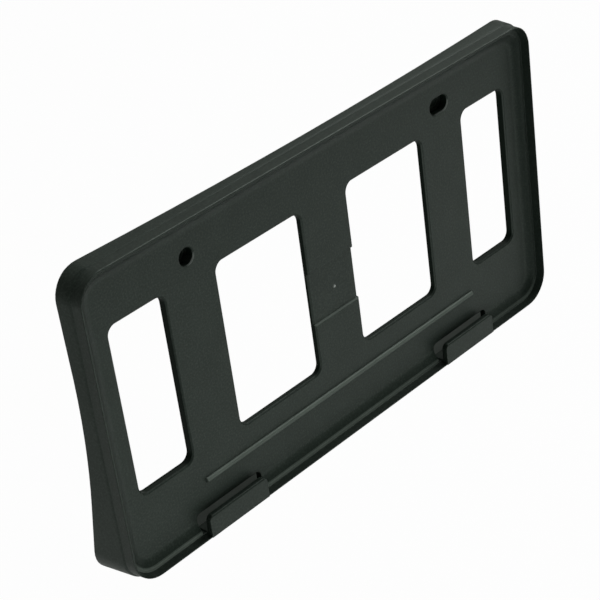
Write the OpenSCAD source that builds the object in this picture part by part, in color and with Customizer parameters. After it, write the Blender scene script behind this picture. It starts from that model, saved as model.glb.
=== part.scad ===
// Number plate holder: one moulded plastic tray that stands on a bumper and takes a 12 x 6 inch plate.
// Millimetres. Origin at the middle of the plate seat, on the seat plane.
// +X to the right seen from the front, -Y to the front, +Z up.

/* [Rim] */
// width over the rim at its front edge
rim_w = 311.4; // [308:0.2:318]
// height over the rim at its front edge
rim_tall = 162; // [161.4:0.2:166]
// how far the rim stands in front of the plate seat
rim_h = 6.9; // [6:0.1:8]
// corner radius of the rim at the top
corner_top = 13.5; // [12:0.5:16]
// corner radius of the rim at the bottom
corner_bottom = 15.5; // [14:0.5:19]
// how much the corner radii grow to the rear
corner_draft = 2.6; // [0:0.2:4]
// thickness of the rim at its front edge
rim_edge = 0.9; // [0.7:0.1:1.4]
// size of the rounding on the rim's front edge
rim_round = 0.35; // [0.2:0.05:0.4]

/* [Plate seat] */
// thickness of the face that the plate lies against
face_t = 3.2; // [2.8:0.1:3.6]
// radius of the hollow curve from the seat up to the ledge
dish_r = 9; // [7:0.5:10]
// height of the ledge round the seat
ledge_h = 2.8; // [2:0.1:3.2]
// distance from the rim's side edge to the ledge
ledge_side = 3.3; // [3.1:0.1:5]
// distance from the rim's top edge down to the ledge
ledge_drop = 4.2; // [3.6:0.1:6]
// distance from the rim's bottom edge up to the ledge
ledge_rise = 3.3; // [3:0.1:5]

/* [Skirt] */
// wall thickness of the skirt
wall_t = 2.4; // [1.8:0.1:3]
// height of the small step round the outside, where the skirt starts
step_h = 0.5; // [0.2:0.1:0.8]
// how far the skirt reaches behind the seat at its top corners
skirt_top = 7.8; // [7.2:0.1:9]
// how far it reaches behind the seat where its rear edge starts to bend
skirt_upper = 7; // [6.4:0.1:8]
// slope of the skirt's rear edge below the bend, in degrees
skirt_slope = 10; // [6:0.2:11]
// distance from the rim's top edge down to where the rear edge starts to bend
bend_drop = 53.2; // [42:0.2:66]
// radius of that bend
bend_r = 385; // [250:5:450]
// how much each side wall spreads to the rear
flare_side = 2.4; // [0.4:0.1:3]
// how much the top wall rises to the rear
flare_top = 1.6; // [0.3:0.1:2.5]
// how much the bottom wall drops to the rear
flare_bottom = 2.6; // [0.5:0.1:3.5]
// hollow of the rear edge at mid width, top and bottom
rear_hollow = 4; // [1:0.1:4]
// distance from the rim's top edge down to the end of the upper hollow
hollow_drop = 39.2; // [34:0.2:45]
// distance from the rim's bottom edge up to the end of the lower hollow
hollow_rise = 6.8; // [5:0.2:8]

/* [Windows] */
// inner edge of the two middle windows, from the centre line
win_in_x1 = 16.3; // [13:0.1:20]
// outer edge of the two middle windows, from the centre line
win_in_x2 = 73; // [65:0.1:75]
// inner edge of the two end windows, from the centre line
win_out_x1 = 105.2; // [101:0.1:108]
// outer edge of the two end windows, from the centre line
win_out_x2 = 139.2; // [134:0.1:141]
// distance from the rim's top edge down to the two middle windows
win_in_drop = 33.2; // [32:0.1:41]
// distance from the rim's top edge down to the two end windows
win_out_drop = 32.5; // [32:0.1:41]
// distance from the rim's bottom edge up to the windows
win_rise = 40; // [37:0.1:50]
// corner radius of the windows
win_r = 5; // [3:0.5:8]
// size of the chamfer on the front edge of the windows
win_edge = 0.8; // [0.3:0.1:1]
// width of the frame behind each end window
frame_w = 1.8; // [1.2:0.1:2.5]
// depth of that frame behind the seat plane
frame_d = 4.3; // [3.8:0.1:5]

/* [Screw holes] */
// distance between the two screw holes
hole_pitch = 177.8; // [170:0.1:180]
// distance from the rim's top edge down to the screw holes
hole_drop = 21.5; // [20.2:0.1:23]
// diameter of the round hole and width of the slot
hole_d = 8.4; // [6:0.1:9]
// length of the slot
slot_l = 13.6; // [11:0.1:15]
// depth of both holes
hole_depth = 6.6; // [5:0.1:7]
// wall round and behind each hole
boss_t = 2.2; // [1.5:0.1:2.6]

/* [Hooks] */
// inner side of each hook, from the centre line
hook_x1 = 68.8; // [67:0.1:74]
// outer side of each hook, from the centre line
hook_x2 = 108; // [100:0.1:108.4]
// height of the hooks above the rim's bottom edge
hook_rise = 11.6; // [9:0.1:12.8]
// thickness of the hooks, front to back
hook_t = 2.9; // [2:0.1:3]
// corner radius of the hooks
hook_r = 3; // [2:0.5:4]
// gap between a hook and the opening, to each side
hook_gap = 2.4; // [1.5:0.1:3]

/* [Rib and centre web] */
// height of the long rib above the rim's bottom edge
rib_rise = 26; // [24:0.1:28]
// half length of the long rib
rib_x = 100.5; // [80:0.5:110]
// thickness of the long rib
rib_t = 2.8; // [2:0.1:3.2]
// how far the long rib stands in front of the seat
rib_h = 1.6; // [1.6:0.1:2.2]
// top of the shallow recess across the centre web, above the origin
web_top = 14.4; // [10:0.1:20]
// bottom of that recess, below the origin
web_bottom = 15; // [10:0.1:20]
// depth of that recess
web_d = 1.2; // [0.5:0.1:1.6]
// radius of the moulding gate mark
gate_r = 1.1; // [0.8:0.1:1.5]

/* [Rear ribs] */
// thickness of the rear ribs
brace_t = 1.8; // [1.4:0.1:2.5]
// height of the rear ribs up the back of the face
brace_h = 24; // [15:1:28]
// distance of the inner rear ribs from the centre line
brace_x1 = 46; // [30:1:60]
// distance of the outer rear ribs from the centre line
brace_x2 = 128; // [115:1:135]
// depth of the rear ribs behind the seat plane
brace_d = 13; // [8:0.5:14]

/* [Hidden] */
rim_x = rim_w / 2;
rim_top = rim_tall / 2 + 0.2;
rim_bottom = rim_tall / 2 - 0.2;
// places that are measured from the rim's edges
ledge_x = rim_x - ledge_side;
ledge_top = rim_top - ledge_drop;
ledge_bottom = rim_bottom - ledge_rise;
bend_z = rim_top - bend_drop;
win_in_top = rim_top - win_in_drop;
win_out_top = rim_top - win_out_drop;
win_bottom = rim_bottom - win_rise;
hole_z = rim_top - hole_drop;
hook_top = rim_bottom - hook_rise;
rib_z = rim_bottom - rib_rise;
// depth of the straight part used for all flares
flare_l = 22;
// inside of the rim, where it leaves the ledge
wall_x = rim_x - rim_edge - 1.2;
wall_top = rim_top - rim_edge - 0.9;
wall_bottom = rim_bottom - rim_edge - 0.5;
// flat part of the seat
dish_in = sqrt(dish_r * dish_r - pow(dish_r - ledge_h, 2));
seat_r = corner_bottom - rim_edge - 1.2;
far = 60;
wide = rim_w + far;
high = rim_top + far;
low = -rim_bottom - far;

// four thin discs in the corners of the outline, front side at y
module outline(y, hx, zt, zb, rt, rb) {
    for (s = [-1, 1]) {
        translate([s * (hx - rt), y, zt - rt])
            rotate([-90, 0, 0]) cylinder(r = rt, h = 0.02, $fn = 40);
        translate([s * (hx - rb), y, rb - zb])
            rotate([-90, 0, 0]) cylinder(r = rb, h = 0.02, $fn = 40);
    }
}

// front part of the outside: the rim
module rim_body() {
    hull() {
        outline(-rim_h, rim_x - rim_round, rim_top - rim_round, rim_bottom - rim_round,
            corner_top - rim_round, corner_bottom - rim_round);
        outline(-rim_h + rim_round, rim_x, rim_top, rim_bottom, corner_top, corner_bottom);
        outline(1, rim_x + 0.3, rim_top + 0.2, rim_bottom + 0.8, corner_top, corner_bottom);
    }
}

// rear part of the outside: the skirt, one small step larger
module skirt_body() {
    hull() {
        outline(-0.7, rim_x + 0.25, rim_top + 0.15, rim_bottom + 0.7, corner_top, corner_bottom);
        outline(0.4, rim_x + 0.3 + step_h, rim_top + 0.2 + step_h, rim_bottom + 0.8 + step_h,
            corner_top, corner_bottom);
        outline(flare_l, rim_x + 0.3 + step_h + flare_side, rim_top + 0.2 + step_h + flare_top,
            rim_bottom + 0.8 + step_h + flare_bottom,
            corner_top + corner_draft, corner_bottom + corner_draft);
    }
}

// hollow behind the face
module cavity() {
    cx = rim_x + 0.3 + step_h - wall_t;
    ct = rim_top + 0.2 + step_h - wall_t;
    cb = rim_bottom + 0.8 + step_h - wall_t;
    hull() {
        outline(face_t, cx, ct, cb, corner_top - wall_t, corner_bottom - wall_t);
        outline(flare_l + 1, cx + flare_side, ct + flare_top, cb + flare_bottom,
            corner_top + corner_draft - wall_t, corner_bottom + corner_draft - wall_t);
    }
}

// prism along X from a profile drawn as [y, z]
module along_x(x1, x2) {
    translate([x1, 0, 0]) rotate([90, 0, 90]) linear_extrude(x2 - x1) children();
}

// prism along Z from a profile drawn as [x, y]
module along_z(z1, z2) {
    translate([0, 0, z1]) linear_extrude(z2 - z1) children();
}

// prism along Y from a shape drawn as [x, z]
module along_y(y1, y2) {
    translate([0, y2, 0]) rotate([90, 0, 0]) linear_extrude(y2 - y1) children();
}

// rounded rectangle drawn as [x, z]
module window_shape(x1, x2, z1, z2, r) {
    translate([x1 + r, z1]) square([x2 - x1 - 2 * r, z2 - z1]);
    translate([x1, z1 + r]) square([x2 - x1, z2 - z1 - 2 * r]);
    for (x = [x1 + r, x2 - r])
        for (z = [z1 + r, z2 - r])
            translate([x, z]) circle(r, $fn = 48);
}

// section of the dish, w from its middle to the ledge on each side: [across, depth]
module dish_section(w) {
    flat = w - dish_in;
    front = ledge_h + 0.8;
    intersection() {
        union() {
            translate([-flat, -dish_r]) square([2 * flat, dish_r]);
            translate([-flat, -dish_r]) circle(dish_r, $fn = 96);
            translate([flat, -dish_r]) circle(dish_r, $fn = 96);
        }
        translate([-w - 2, -front]) square([2 * w + 4, front + 1]);
    }
}

// space in front of the seat, with the hollow curve at its edges
module dish() {
    r = seat_r - 1.5;
    zc = (ledge_top - ledge_bottom) / 2;
    zh = (ledge_top + ledge_bottom) / 2;
    translate([0, 0, zc]) along_x(r - ledge_x, ledge_x - r) mirror([1, -1]) dish_section(zh);
    translate([0, 0, r - zh + zc]) linear_extrude(2 * (zh - r)) dish_section(ledge_x);
    for (s = [-1, 1])
        for (z = [zc + zh - r, zc - zh + r])
            translate([s * (ledge_x - r), 0, z]) rotate([-90, 0, 0]) dish_corner(r);
}

// one corner of that space
module dish_corner(r) {
    rotate_extrude($fn = 96)
        intersection() {
            dish_section(r);
            translate([0, -dish_r]) square([r + 2, dish_r + 1]);
        }
}

// space inside the rim in front of the ledge, opening to the front
module rim_space() {
    y1 = -ledge_h;
    l = rim_h - ledge_h + 1;
    g = (rim_x - rim_edge - wall_x) * l / (l - 1);
    gb = g * 0.6;
    hull() {
        outline(y1 - 0.02, wall_x, wall_top, wall_bottom, seat_r - 2, seat_r);
        outline(y1 - l, wall_x + g, wall_top + g * 0.75, wall_bottom + gb, seat_r - 2, seat_r);
    }
}

// everything behind the rear edge
module rear_cut() {
    ty = skirt_upper + bend_r * (1 - cos(skirt_slope));
    tz = bend_z - bend_r * sin(skirt_slope);
    ey = ty + (tz - low) * tan(skirt_slope);
    deep = bend_r + far;
    along_x(-wide / 2, wide / 2) {
        translate([skirt_upper + bend_r, bend_z]) circle(bend_r, $fn = 180);
        polygon([[skirt_top, rim_top], [skirt_top, high], [deep, high], [deep, rim_top]]);
        polygon([[skirt_top, rim_top + 1], [skirt_upper, bend_z], [skirt_upper + bend_r, bend_z],
            [ty, tz], [ey, low], [deep, low], [deep, rim_top + 1]]);
    }
    hollow(skirt_top, rim_top - hollow_drop, high);
    hollow(ty + (tz + ledge_bottom) * tan(skirt_slope) + 0.8, low, hollow_rise - rim_bottom);
}

// the rear edge follows a curved bumper: hollow at mid width
module hollow(y, z1, z2) {
    r = (pow(rim_x - 5, 2)) / (2 * rear_hollow);
    along_z(z1, z2) translate([0, y - rear_hollow + r]) circle(r, $fn = 720);
}

// frustum on the front edge of a window
module window_edge(x1, x2, z1, z2, r) {
    e = win_edge;
    for (x = [x1 + r, x2 - r])
        for (z = [z1 + r, z2 - r])
            translate([x, -0.01, z]) rotate([-90, 0, 0]) cylinder(r1 = r + e, r2 = r, h = e, $fn = 48);
    along_x(x1 + r, x2 - r)
        polygon([[-0.01, z1 - e], [-0.01, z2 + e], [e - 0.01, z2], [e - 0.01, z1]]);
    along_z(z1 + r, z2 - r)
        polygon([[x1 - e, -0.01], [x2 + e, -0.01], [x2, e - 0.01], [x1, e - 0.01]]);
}

module windows() {
    for (s = [0, 1]) mirror([s, 0, 0]) {
        along_y(-1, far) window_shape(win_in_x1, win_in_x2, -win_bottom, win_in_top, win_r);
        along_y(-1, far) window_shape(win_out_x1, win_out_x2, -win_bottom, win_out_top, win_r);
        window_edge(win_in_x1, win_in_x2, -win_bottom, win_in_top, win_r);
        window_edge(win_out_x1, win_out_x2, -win_bottom, win_out_top, win_r);
    }
}

// frames behind the end windows
module frames() {
    f = frame_w;
    for (s = [0, 1]) mirror([s, 0, 0])
        along_y(face_t - 0.5, frame_d)
            window_shape(win_out_x1 - f, win_out_x2 + f, -win_bottom - f, win_out_top + f, win_r + f);
}

// blind bosses behind the two screw holes
module bosses() {
    translate([-hole_pitch / 2, 0.5, hole_z])
        rotate([-90, 0, 0]) cylinder(d = hole_d + 2 * boss_t, h = hole_depth + boss_t - 1.3, $fn = 64);
    along_y(0.5, hole_depth + boss_t - 0.8) slot_shape(slot_l + 2 * boss_t, hole_d + 2 * boss_t);
}

module slot_shape(l, d) {
    translate([hole_pitch / 2, hole_z]) {
        square([l - d, d], center = true);
        translate([-(l - d) / 2, 0]) circle(d = d, $fn = 48);
        translate([(l - d) / 2, 0]) circle(d = d, $fn = 48);
    }
}

module screw_holes() {
    translate([-hole_pitch / 2, -1, hole_z])
        rotate([-90, 0, 0]) cylinder(d = hole_d, h = hole_depth + 1, $fn = 64);
    translate([-hole_pitch / 2, -0.01, hole_z])
        rotate([-90, 0, 0]) cylinder(d1 = hole_d + 1.2, d2 = hole_d, h = 0.6, $fn = 64);
    along_y(-1, hole_depth) slot_shape(slot_l, hole_d);
    for (s = [-1, 1])
        translate([hole_pitch / 2 + s * (slot_l - hole_d) / 2, -0.01, hole_z])
            rotate([-90, 0, 0]) cylinder(d1 = hole_d + 1.2, d2 = hole_d, h = 0.6, $fn = 64);
    along_x((hole_pitch - slot_l + hole_d) / 2, (hole_pitch + slot_l - hole_d) / 2)
        polygon([[-0.01, hole_z - hole_d / 2 - 0.6], [-0.01, hole_z + hole_d / 2 + 0.6],
            [0.59, hole_z + hole_d / 2], [0.59, hole_z - hole_d / 2]]);
}

// openings in the face behind and beside the hooks
module hook_openings() {
    x1 = hook_x1 - hook_gap;
    x2 = hook_x2 + hook_gap;
    top = -hook_top - 0.2;
    base = -wall_bottom + 0.3;
    for (s = [0, 1]) mirror([s, 0, 0])
        along_y(-rim_h - 1, far) {
            translate([x1, base]) square([x2 - x1, top - base - hook_r]);
            translate([x1 + hook_r, base]) square([x2 - x1 - 2 * hook_r, top - base]);
            translate([x1 + hook_r, top - hook_r]) circle(hook_r, $fn = 48);
            translate([x2 - hook_r, top - hook_r]) circle(hook_r, $fn = 48);
        }
}

// hooks that hold the plate's lower edge
module hooks() {
    foot = -rim_bottom;
    r = hook_r;
    e = 1;
    for (s = [0, 1]) mirror([s, 0, 0])
        intersection() {
            along_x(hook_x1, hook_x2) {
                translate([-rim_h, foot]) square([hook_t, -hook_top - e - foot]);
                translate([-rim_h + e, foot]) square([hook_t - e, -hook_top - foot]);
                translate([-rim_h + e, -hook_top - e]) circle(e, $fn = 32);
                translate([-rim_h, foot]) square([rim_h + face_t, 2.4]);
            }
            along_y(-rim_h - 1, face_t + 1) {
                translate([hook_x1, foot]) square([hook_x2 - hook_x1, -hook_top - r - foot]);
                translate([hook_x1 + r, foot]) square([hook_x2 - hook_x1 - 2 * r, -hook_top - foot]);
                translate([hook_x1 + r, -hook_top - r]) circle(r, $fn = 48);
                translate([hook_x2 - r, -hook_top - r]) circle(r, $fn = 48);
            }
        }
}

// long rib across the lower part of the seat
module long_rib() {
    r = rib_t / 2;
    along_x(-rib_x, rib_x) {
        translate([r - rib_h, -rib_z - r]) square([rib_h - r + 1, rib_t]);
        translate([r - rib_h, -rib_z]) circle(r, $fn = 64);
    }
}

// shallow recess across the centre web
module web_recess() {
    run = web_d * 0.6;
    x1 = win_in_x1;
    e = win_edge;
    along_x(-x1 - 1, x1 + 1)
        polygon([[-1, web_top + 0.6], [0, web_top], [web_d, web_top - run],
            [web_d, run - web_bottom], [0, -web_bottom], [-1, -web_bottom - 0.6]]);
    for (s = [0, 1]) mirror([s, 0, 0])
        along_z(run - web_bottom, web_top - run)
            polygon([[x1 - e, web_d - 0.01], [x1 + 1, web_d - 0.01], [x1 + 1, web_d + e],
                [x1, web_d + e - 0.01]]);
}

// mark left by the moulding gate
module gate_mark() {
    translate([1, web_d - 0.4, -0.8])
        rotate([-90, 0, 0]) cylinder(r1 = gate_r * 0.6, r2 = gate_r, h = 1, $fn = 32);
}

// ribs in the hollow, between the back of the face and the bottom wall
module braces() {
    foot = -rim_bottom - 0.8;
    for (x = [-brace_x2, -brace_x1, brace_x1, brace_x2])
        along_x(x - brace_t / 2, x + brace_t / 2)
            polygon([[face_t - 0.5, foot], [face_t - 0.5, foot + brace_h],
                [face_t + 1.5, foot + brace_h], [brace_d, foot + 4], [brace_d, foot]]);
}

module plate_holder() {
    color("#343A36")
    difference() {
        union() {
            difference() {
                union() {
                    rim_body();
                    skirt_body();
                }
                cavity();
                rear_cut();
                dish();
                rim_space();
                hook_openings();
            }
            frames();
            bosses();
            braces();
            hooks();
            long_rib();
        }
        windows();
        screw_holes();
        difference() {
            web_recess();
            gate_mark();
        }
    }
}

plate_holder();
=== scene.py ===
import math

import bmesh
import bpy
from mathutils import Matrix, Vector


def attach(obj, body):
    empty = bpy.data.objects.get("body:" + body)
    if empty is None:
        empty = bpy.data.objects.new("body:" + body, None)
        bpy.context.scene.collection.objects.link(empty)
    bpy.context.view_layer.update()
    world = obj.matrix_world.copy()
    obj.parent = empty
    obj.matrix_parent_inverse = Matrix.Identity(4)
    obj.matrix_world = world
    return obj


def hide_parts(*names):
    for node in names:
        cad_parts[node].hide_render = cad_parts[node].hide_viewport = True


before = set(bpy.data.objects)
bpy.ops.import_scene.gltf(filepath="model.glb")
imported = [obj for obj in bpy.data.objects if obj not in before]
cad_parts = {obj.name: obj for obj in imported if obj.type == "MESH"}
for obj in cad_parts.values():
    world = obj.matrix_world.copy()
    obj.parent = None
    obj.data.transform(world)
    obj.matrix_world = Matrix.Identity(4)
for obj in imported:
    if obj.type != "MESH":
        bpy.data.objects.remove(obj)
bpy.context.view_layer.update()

MM = 0.001

# ---------------------------------------------------------------- camera
# Where the lens stands and which way it looks, from the plate seat's middle, in metres.
CAMERA_PLACE = Vector((-0.5646, -0.5715, 0.4529))
CAMERA_RIGHT = Vector((0.6711, -0.7311, -0.1224))
CAMERA_UP = Vector((0.4396, 0.2596, 0.8599))
CAMERA_LENS = 113.9   # mm, on a sensor this wide
SENSOR_WIDE = 36.0
PICTURE_WIDE = 600    # pixels
CAMERA_SHIFT = (-0.5 / PICTURE_WIDE, 0.64 / PICTURE_WIDE)   # the lens is this far off the film's middle

right = CAMERA_RIGHT.normalized()
back = right.cross(CAMERA_UP).normalized()
up = back.cross(right)
lens = bpy.data.cameras.new("lens")
lens.lens = CAMERA_LENS
lens.sensor_width = SENSOR_WIDE
lens.shift_x, lens.shift_y = CAMERA_SHIFT
lens.clip_start = 0.05
lens.clip_end = 50.0
camera = bpy.data.objects.new("camera", lens)
turned = Matrix((right, up, back)).transposed().to_4x4()
camera.matrix_world = Matrix.Translation(CAMERA_PLACE) @ turned
bpy.context.scene.collection.objects.link(camera)
bpy.context.scene.camera = camera


# ---------------------------------------------------------------- helpers
def from_hex(colour, alpha=1.0):
    """sRGB hex as the linear colour that the shader wants."""
    def linear(v):
        return v / 12.92 if v <= 0.04045 else ((v + 0.055) / 1.055) ** 2.4
    parts = [int(colour[i:i + 2], 16) / 255 for i in (1, 3, 5)]
    return (*[linear(v) for v in parts], alpha)


def add_node(tree, kind, links=None, **values):
    """One shader node: values set its properties or sockets, links join its inputs."""
    node = tree.nodes.new(kind)
    for name, value in values.items():
        if hasattr(node, name):
            setattr(node, name, value)
    for name, value in (links or {}).items():
        socket = node.inputs[name]
        if isinstance(value, bpy.types.NodeSocket):
            tree.links.new(value, socket)
        else:
            socket.default_value = value
    return node


def new_material(name):
    """An empty node material and its tree."""
    material = bpy.data.materials.new(name)
    material.use_nodes = True
    tree = material.node_tree
    tree.nodes.clear()
    return material, tree


def span(tree, value, low, high, to_low=0.0, to_high=1.0):
    """A value brought from one range to another and held inside it."""
    return add_node(tree, "ShaderNodeMapRange", {
        "Value": value, "From Min": low, "From Max": high,
        "To Min": to_low, "To Max": to_high}).outputs["Result"]


def math_node(tree, operation, a, b=0.0):
    """One sum on one or two values."""
    return add_node(tree, "ShaderNodeMath", {0: a, 1: b}, operation=operation).outputs[0]


def product(tree, first, *others):
    """All the shares multiplied."""
    for other in others:
        first = math_node(tree, "MULTIPLY", first, other)
    return first


def largest(tree, first, *others):
    """The largest of the shares."""
    for other in others:
        first = math_node(tree, "MAXIMUM", first, other)
    return first


def fade(tree, share, left=0.0):
    """1 where a share is 0, and what is left where it is 1."""
    return span(tree, share, 0.0, 1.0, 1.0, left)


def near(tree, value, middle, inside, outside):
    """1 where a value is within one distance of a middle, and 0 where it is past another."""
    off = math_node(tree, "ABSOLUTE", math_node(tree, "SUBTRACT", value, middle))
    return span(tree, off, outside, inside)


def blend(tree, share, a, b):
    """From colour a to colour b by a share."""
    return add_node(tree, "ShaderNodeMix", {
        "Factor": share, "A": a, "B": b}, data_type="RGBA").outputs["Result"]


def noise(tree, place, size, detail, roughness):
    """Noise whose features have a size in metres."""
    return add_node(tree, "ShaderNodeTexNoise", {
        "Vector": place, "Scale": 1 / size, "Detail": detail, "Roughness": roughness}).outputs["Fac"]


# ---------------------------------------------------------------- moulded plastic
PLASTIC_DARK = from_hex("#1F2722")       # the grained side, between these two where the melt clouded it
PLASTIC_LIGHT = from_hex("#272F2A")
PLASTIC_PIT_AND_SHADE = from_hex("#151A17")        # the bottom of the grain, and painted shade on edges that face down or sideways
PLASTIC_SMOOTH_AND_SHADE = from_hex("#141E18")     # where the tool is plain steel, and painted shade on the inner walls and the tray's lower and right-hand sides
PLASTIC_BACK_DARK = from_hex("#1D231F")  # the back, between these two
PLASTIC_BACK_LIGHT = from_hex("#2A312C")
PLASTIC_TIPS_AND_HIGHLIGHT = from_hex("#454D47")     # the grain's tips, and the painted highlight along edges that face up
PLASTIC_HIGHLIGHT = from_hex("#5F6861")       # painted highlight on the rib, the lower ledge and the slope under the centre recess
PLASTIC_SHEEN = from_hex("#EEFFF4")      # tint of its reflections
PLASTIC_WHITE_MARK_AND_HIGHLIGHT = from_hex("#B4BAB6")   # where the sprue was torn off, and a painted highlight on the screw holes' rims

# sizes of the patterns
GRAIN = 0.5 * MM       # the spark-eroded grain
FINE = 0.16 * MM       # the finest roughness on top of it
SPECKLE = 1.0 * MM     # the clusters that the grain makes
MOTTLE = 16 * MM       # the faint clouding where the melt flowed
GRAIN_DEEP = 0.04 * MM
EDGE_R = 0.6 * MM      # how far the edges are shaded round
CREVICE = 0.4 * MM     # an edge with plastic this close is an inner corner

# places on the moulding
HALF_WIDTH = 155 * MM  # half size of the outline, to tell its outside from the openings' walls
HALF_HEIGHT = 80 * MM
SEAT_FRONT = -0.15 * MM
FACE_DEEP = 3.1 * MM   # back of the face
BACK_FROM = 4.5 * MM   # behind every window's frame
STEP_Y = -0.15 * MM    # middle of the small step round the skirt
LEDGE_Y = -2.8 * MM    # front of the ledge that the plate's lower edge stands on
RIB_Z = -54.8 * MM     # middle of the long rib
RIB_END = 100.2 * MM
WEB_Z = -14.65 * MM    # middle of the slope under the centre web's recess
WEB_END = 17.5 * MM
HOLE_X = 88.9 * MM     # the screw holes, and how deep their countersunk rims go
HOLE_Z = 59.7 * MM
RIM_DEEP = 0.6 * MM
GATE = Vector((1.0, 1.2, -0.8)) * MM    # middle of the gate mark
GATE_R = 1.1 * MM
FAR_RIGHT = 110 * MM   # the edges' shine fades from the middle to here, as in the photograph


def finish_and_painted_light(tree, coords):
    """Shares that say how the tool has left each place, and where light and shade are painted on. They are read
    off the light and dark in one photograph, so painted_tray_shade, painted_ridge_highlight, painted_rim_highlight
    and the step's darker colour are painted light and shade, and look uneven in another light.
    grained_unshaded         1 on the face and round the outside, where the tool has a grain, and 0 on smooth walls and the back;
                             the inner walls' darker, duller colour is partly painted shade
    painted_tray_shade       1 on the lower and right-hand sides of the tray, which are painted darker and less glossy as shade
    painted_ridge_highlight  1 on the long rib, the lower ledge and the slope under the centre recess: a pale
    painted highlight
    painted_rim_highlight    1 on the screw holes' rims, low on the right: a white painted highlight
    rear                     1 on the back"""
    turn = add_node(tree, "ShaderNodeSeparateXYZ", {0: coords.outputs["Normal"]}).outputs
    place = add_node(tree, "ShaderNodeSeparateXYZ", {0: coords.outputs["Object"]}).outputs
    across = math_node(tree, "ABSOLUTE", place[0])
    before_seat = span(tree, place[1], SEAT_FRONT, SEAT_FRONT - 0.3 * MM)

    # about 1 where a wall faces out of the moulding, and -1 where it faces in
    side = math_node(tree, "DIVIDE", product(tree, turn[0], place[0]), HALF_WIDTH)
    rise = math_node(tree, "DIVIDE", product(tree, turn[2], place[2]), HALF_HEIGHT)
    outward = math_node(tree, "ADD", side, rise)

    # 1 where the tool has a grain; inner walls that face in get 0, and their darker, duller colour is partly
    # painted shade
    to_front = span(tree, turn[1], -0.45, -0.9)
    in_face = product(
        tree, span(tree, place[1], FACE_DEEP + 0.3 * MM, FACE_DEEP, 0.0, 0.35), span(tree, turn[0], -0.8, -0.3))
    grained_unshaded = largest(tree, to_front, span(tree, outward, 0.78, 0.9), before_seat, in_face)

    # the small sloping step along the top has less grain, and its darker, duller colour is painted shade
    on_step = product(
        tree, near(tree, place[1], STEP_Y, 0.6 * MM, 0.8 * MM), span(tree, place[2], 60 * MM, 62 * MM),
        span(tree, turn[2], 0.98, 0.95), span(tree, turn[2], 0.7, 0.85))
    grained_unshaded = product(tree, grained_unshaded, fade(tree, on_step, 0.5))

    # painted highlight along the long rib, the lower ledge (weaker to the right) and the slope under the centre
    # recess
    on_rib = product(
        tree, near(tree, place[2], RIB_Z, 1.45 * MM, 1.7 * MM), before_seat,
        span(tree, turn[2], -0.7, 0.1), span(tree, across, RIB_END + 1 * MM, RIB_END))
    on_ledge = product(
        tree, near(tree, place[1], LEDGE_Y, 0.3 * MM, 0.5 * MM), span(tree, turn[1], -0.6, -0.9),
        span(tree, place[2], -68 * MM, -76 * MM))
    less_right = span(tree, place[0], 20 * MM, 60 * MM, 1.0, 0.55)
    on_web = product(
        tree, near(tree, place[2], WEB_Z, 0.5 * MM, 0.7 * MM), span(tree, across, WEB_END + 0.5 * MM, WEB_END),
        span(tree, turn[2], 0.3, 0.6, 0.0, 0.45), span(tree, turn[1], -0.2, -0.4))
    painted_ridge_highlight = largest(tree, on_rib, product(tree, on_ledge, less_right), on_web)
    grained_unshaded = largest(tree, grained_unshaded, painted_ridge_highlight)

    # painted highlight on the holes' rims, low on the right, where they face up and left
    up_left = math_node(tree, "SUBTRACT", turn[2], turn[0])
    painted_rim_highlight = product(
        tree, near(tree, across, HOLE_X, 8.0 * MM, 8.2 * MM), near(tree, place[2], HOLE_Z, 5.0 * MM, 5.2 * MM),
        span(tree, place[1], RIM_DEEP + 0.1 * MM, RIM_DEEP), span(tree, up_left, 0.6, 0.95))

    # painted shade: the lower and right-hand sides of the tray, inside the rim, are made darker and less glossy
    by_rim = largest(
        tree, span(tree, across, 141 * MM, 145 * MM), span(tree, place[2], -66 * MM, -70 * MM),
        span(tree, place[2], 65 * MM, 69 * MM))
    painted_tray_shade = product(
        tree, span(tree, outward, 0.0, -0.62), before_seat, by_rim, span(tree, up_left, -0.5, 0.2, 0.4, 1.0),
        fade(tree, on_ledge))

    # the back is out of the photograph: smooth, as such mouldings are there
    rear = largest(tree, span(tree, turn[1], 0.2, 0.5), span(tree, place[1], BACK_FROM, BACK_FROM + 0.4 * MM))
    rear = product(tree, rear, fade(tree, grained_unshaded))
    return {"grained_unshaded": grained_unshaded, "painted_tray_shade": painted_tray_shade, "painted_ridge_highlight": painted_ridge_highlight, "painted_rim_highlight": painted_rim_highlight, "rear": rear}


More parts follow.
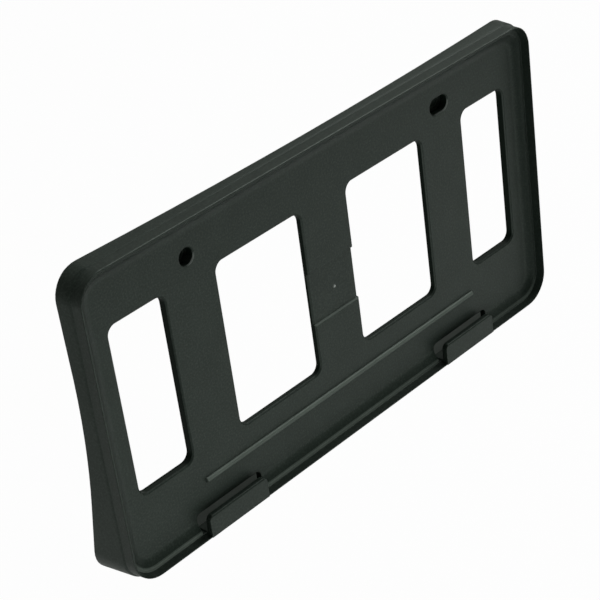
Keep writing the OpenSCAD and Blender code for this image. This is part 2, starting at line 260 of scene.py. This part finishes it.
def moulded_plastic():
    """Dark grey polypropylene, injection moulded: spark-eroded grain on the show side, smooth walls, with painted
    highlights and painted shade on edges, walls and the tray.
    """
    material, tree = new_material("grained_polypropylene")
    coords = add_node(tree, "ShaderNodeTexCoord")
    place = coords.outputs["Object"]
    grain = noise(tree, place, GRAIN, 2.0, 0.6)
    fine = noise(tree, place, FINE, 1.0, 0.5)
    mottle = noise(tree, place, MOTTLE, 4.0, 0.55)
    speckle = noise(tree, place, SPECKLE, 1.5, 0.7)
    finish_and_light = finish_and_painted_light(tree, coords)
    grained_unshaded, painted_tray_shade, rear = finish_and_light["grained_unshaded"], finish_and_light["painted_tray_shade"], finish_and_light["rear"]

    # colour: clouded, lighter on the tips of the grain, darker in its pits, and darker where the tool is smooth,
    # partly as painted shade
    tint = blend(tree, span(tree, mottle, 0.3, 0.7), PLASTIC_DARK, PLASTIC_LIGHT)
    tint = blend(tree, span(tree, speckle, 0.5, 0.75, 0.0, 0.5), tint, PLASTIC_TIPS_AND_HIGHLIGHT)
    tint = blend(tree, span(tree, speckle, 0.5, 0.25, 0.0, 0.8), tint, PLASTIC_PIT_AND_SHADE)
    plain = blend(tree, span(tree, mottle, 0.35, 0.65), PLASTIC_BACK_DARK, PLASTIC_BACK_LIGHT)
    plain = blend(tree, rear, PLASTIC_SMOOTH_AND_SHADE, plain)
    tint = blend(tree, grained_unshaded, plain, tint)
    # painted shade on the tray's lower and right-hand sides
    tint = blend(tree, product(tree, painted_tray_shade, 0.6), tint, PLASTIC_SMOOTH_AND_SHADE)

    # edges are rounded, as in any mould; by the photograph those that face up get a painted highlight, less so to
    # the right, and the others painted shade; inner corners are left alone
    edge = add_node(tree, "ShaderNodeBevel", {"Radius": EDGE_R}, samples=8).outputs["Normal"]
    true = add_node(tree, "ShaderNodeNewGeometry").outputs["Normal"]
    same = add_node(tree, "ShaderNodeVectorMath", {0: edge, 1: true}, operation="DOT_PRODUCT").outputs["Value"]
    open_air = add_node(tree, "ShaderNodeAmbientOcclusion", {"Distance": CREVICE}, samples=6).outputs["AO"]
    line = product(tree, span(tree, same, 0.985, 0.86), span(tree, open_air, 0.7, 0.9))
    upward = add_node(tree, "ShaderNodeSeparateXYZ", {0: edge}).outputs[2]
    across = add_node(tree, "ShaderNodeSeparateXYZ", {0: place}).outputs[0]
    # painted highlight on edges that face up, weaker to the right
    painted_edge_highlight = product(
        tree, line, span(tree, mottle, 0.35, 0.65, 0.6, 1.0), span(tree, across, 0.0, FAR_RIGHT, 1.0, 0.15),
        span(tree, upward, 0.05, 0.4))
    tint = blend(tree, product(tree, painted_edge_highlight, 0.45), tint, PLASTIC_TIPS_AND_HIGHLIGHT)
    # painted shade on edges that face down or sideways
    painted_edge_shade = product(tree, line, span(tree, upward, 0.05, 0.3, 0.6, 0.0))
    tint = blend(tree, painted_edge_shade, tint, PLASTIC_PIT_AND_SHADE)
    # painted highlight on the rib, the ledge and the slope under the centre recess
    painted_ridge_highlight = product(tree, finish_and_light["painted_ridge_highlight"], span(tree, mottle, 0.35, 0.65, 0.75, 1.0))
    tint = blend(tree, painted_ridge_highlight, tint, PLASTIC_HIGHLIGHT)

    # the sprue's torn end is stretched white, and the holes' rims get a white painted highlight
    from_gate = add_node(tree, "ShaderNodeVectorMath", {0: place, 1: GATE}, operation="DISTANCE").outputs["Value"]
    white_mark_and_highlight = largest(tree, span(tree, from_gate, GATE_R, GATE_R * 0.4), product(tree, finish_and_light["painted_rim_highlight"], 0.4))
    tint = blend(tree, white_mark_and_highlight, tint, PLASTIC_WHITE_MARK_AND_HIGHLIGHT)

    rough = span(tree, grain, 0.3, 0.7, 0.38, 0.48)
    rough = math_node(tree, "SUBTRACT", rough, product(tree, painted_edge_highlight, 0.08))
    gloss = product(tree, span(tree, grained_unshaded, 0.0, 1.0, 0.05, 0.5), fade(tree, painted_tray_shade, 0.35))
    gloss = largest(tree, gloss, product(tree, rear, span(tree, mottle, 0.3, 0.7, 0.4, 0.55)))
    dulled = largest(tree, product(tree, line, span(tree, across, 0.0, FAR_RIGHT, 0.0, 0.9)), painted_edge_shade)
    gloss = largest(tree, product(tree, gloss, fade(tree, dulled)), product(tree, painted_edge_highlight, 0.4))
    height = math_node(tree, "ADD", grain, product(tree, fine, 0.5))
    height = product(tree, height, span(tree, grained_unshaded, 0.0, 1.0, 0.15, 1.0))
    bump = add_node(tree, "ShaderNodeBump", {
        "Height": height, "Strength": 0.5, "Distance": GRAIN_DEEP, "Normal": edge})
    shader = add_node(tree, "ShaderNodeBsdfPrincipled", {
        "Base Color": tint, "Roughness": rough, "Normal": bump.outputs["Normal"],
        "Specular IOR Level": gloss, "Specular Tint": PLASTIC_SHEEN})
    add_node(tree, "ShaderNodeOutputMaterial", {"Surface": shader.outputs["BSDF"]})
    return material


# ---------------------------------------------------------------- the holder
SHARP_FROM = math.radians(25)   # a harder bend than this stays an edge
SAME_POINT = 0.002 * MM         # corners closer than this are joined


def dressed_holder():
    """The CAD moulding with its loose triangles joined and its round stretches shaded smooth."""
    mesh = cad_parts["plate_holder"].data.copy()
    holder = bpy.data.objects.new("holder_moulding", mesh)
    bpy.context.scene.collection.objects.link(holder)
    shape = bmesh.new()
    shape.from_mesh(mesh)
    bmesh.ops.remove_doubles(shape, verts=shape.verts, dist=SAME_POINT)
    for face in shape.faces:
        face.smooth = True
    for edge in shape.edges:
        edge.smooth = len(edge.link_faces) == 2 and edge.calc_face_angle(0.0) < SHARP_FROM
    shape.to_mesh(mesh)
    shape.free()
    mesh.materials.clear()
    mesh.materials.append(moulded_plastic())
    # long flat triangles keep their own direction: the larger face decides the shading
    even = holder.modifiers.new("even_shading", "WEIGHTED_NORMAL")
    even.mode = "FACE_AREA"
    even.weight = 100
    even.keep_sharp = True
    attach(holder, "root")
    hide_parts("plate_holder")


dressed_holder()

# ---------------------------------------------------------------- floor and light
FLOOR_Z = -0.25       # the holder is held up by its bumper mount, so the floor is some way below
FLOOR_HALF = 6.0
WHITE = from_hex("#FFFFFF")
PAPER = from_hex("#F4F4F4")
PAPER_GLOW = 0.97     # share of the sheet that the lens sees as plain white, the rest being lit paper
ROOM_LIGHT = from_hex("#F6FAF4")
ROOM_LEFT = 0.12      # brightness of the room at the left and the right
ROOM_RIGHT = 0.35


def seen_by_lens(tree):
    """1 for rays that come from the lens, also through something clear, and 0 for the light on the holder."""
    path = add_node(tree, "ShaderNodeLightPath").outputs
    return math_node(tree, "ADD", path["Is Camera Ray"], path["Is Transmission Ray"])


def mix_shaders(tree, share, a, b):
    """From shader a to shader b by a share."""
    return add_node(tree, "ShaderNodeMixShader", {0: share, 1: a.outputs[0], 2: b.outputs[0]}).outputs[0]


def white_floor():
    """Plain white sheet: almost white to the lens, and it still takes the holder's soft shadow."""
    material, tree = new_material("white_paper_sheet")
    paper = add_node(tree, "ShaderNodeBsdfDiffuse", {"Color": PAPER})
    glow = add_node(tree, "ShaderNodeEmission", {"Color": WHITE, "Strength": 1.0})
    seen = product(tree, seen_by_lens(tree), PAPER_GLOW)
    add_node(tree, "ShaderNodeOutputMaterial", {"Surface": mix_shaders(tree, seen, paper, glow)})
    shape = bmesh.new()
    bmesh.ops.create_grid(shape, x_segments=1, y_segments=1, size=FLOOR_HALF)
    bmesh.ops.translate(shape, verts=shape.verts, vec=(0, 0, FLOOR_Z))
    mesh = bpy.data.meshes.new("floor")
    shape.to_mesh(mesh)
    shape.free()
    mesh.materials.append(material)
    floor = bpy.data.objects.new("floor", mesh)
    bpy.context.scene.collection.objects.link(floor)


white_floor()


def soft_lamp(name, place, size, watts):
    """Square softbox at a place, turned to the holder; place and size in metres."""
    data = bpy.data.lights.new(name, "AREA")
    data.shape = "SQUARE"
    data.size = size
    data.energy = watts
    lamp = bpy.data.objects.new(name, data)
    lamp.location = place
    lamp.rotation_euler = (-Vector(place)).to_track_quat("-Z", "Y").to_euler()
    bpy.context.scene.collection.objects.link(lamp)


soft_lamp("overhead_softbox", (1.24, -0.2, 1.56), 0.9, 17.5)
soft_lamp("low_softbox", (-0.25, -0.42, -0.2), 0.2, 0.6)

world = bpy.data.worlds.new("studio")
world.use_nodes = True
sky = world.node_tree
sky.nodes.clear()
white = add_node(sky, "ShaderNodeBackground", {"Color": WHITE, "Strength": 1.0})
# the room is brighter on the window's side, to the right
ahead = add_node(sky, "ShaderNodeTexCoord").outputs["Generated"]
ahead = add_node(sky, "ShaderNodeSeparateXYZ", {0: ahead}).outputs
fill = add_node(sky, "ShaderNodeBackground", {
    "Color": ROOM_LIGHT, "Strength": span(sky, ahead[0], -0.9, 0.9, ROOM_LEFT, ROOM_RIGHT)})
add_node(sky, "ShaderNodeOutputWorld", {"Surface": mix_shaders(sky, seen_by_lens(sky), fill, white)})
bpy.context.scene.world = world
bpy.context.scene.view_settings.view_transform = "Standard"
